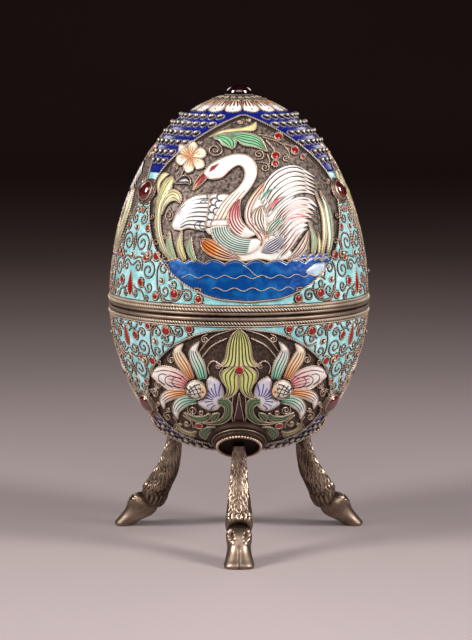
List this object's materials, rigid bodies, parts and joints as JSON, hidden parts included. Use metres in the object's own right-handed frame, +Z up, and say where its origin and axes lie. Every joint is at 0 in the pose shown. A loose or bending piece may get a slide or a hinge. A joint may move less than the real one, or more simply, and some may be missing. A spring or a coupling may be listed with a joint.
{
  "type": "enamel egg on stand",
  "caption": "Egg-shaped silver box with filigree enamel outside, a lift-off upper half as its lid, and cast hoof legs under its lower half.",
  "frame": {"origin": "on the floor, under the middle of the bounding box", "axes": "+Z up, -Y towards the front, where one leg and one picture panel of the lid face"},
  "size_m": [0.0684, 0.0729, 0.1201],
  "materials": {
    "silver": "satin",
    "cast_silver": "satin",
    "lid_enamel": "gloss",
    "lower_enamel": "gloss",
    "garnet": "polished"
  },
  "bodies": {
    "root": {"lower_half": "lower_enamel", "lid": "lid_enamel", "lower_rim": "silver", "lid_rim": "silver", "finial_setting": "silver", "finial_stone": "garnet", "lid_setting_1": "silver", "lid_setting_2": "silver", "lid_setting_3": "silver", "lid_stone_1": "garnet", "lid_stone_2": "garnet", "lid_stone_3": "garnet", "lower_setting_1": "silver", "lower_setting_2": "silver", "lower_setting_3": "silver", "lower_stone_1": "garnet", "lower_stone_2": "garnet", "lower_stone_3": "garnet", "collar_1": "silver", "collar_2": "silver", "collar_3": "silver", "leg_1": "cast_silver", "leg_2": "cast_silver", "leg_3": "cast_silver"}
  },
  "joints": []
}
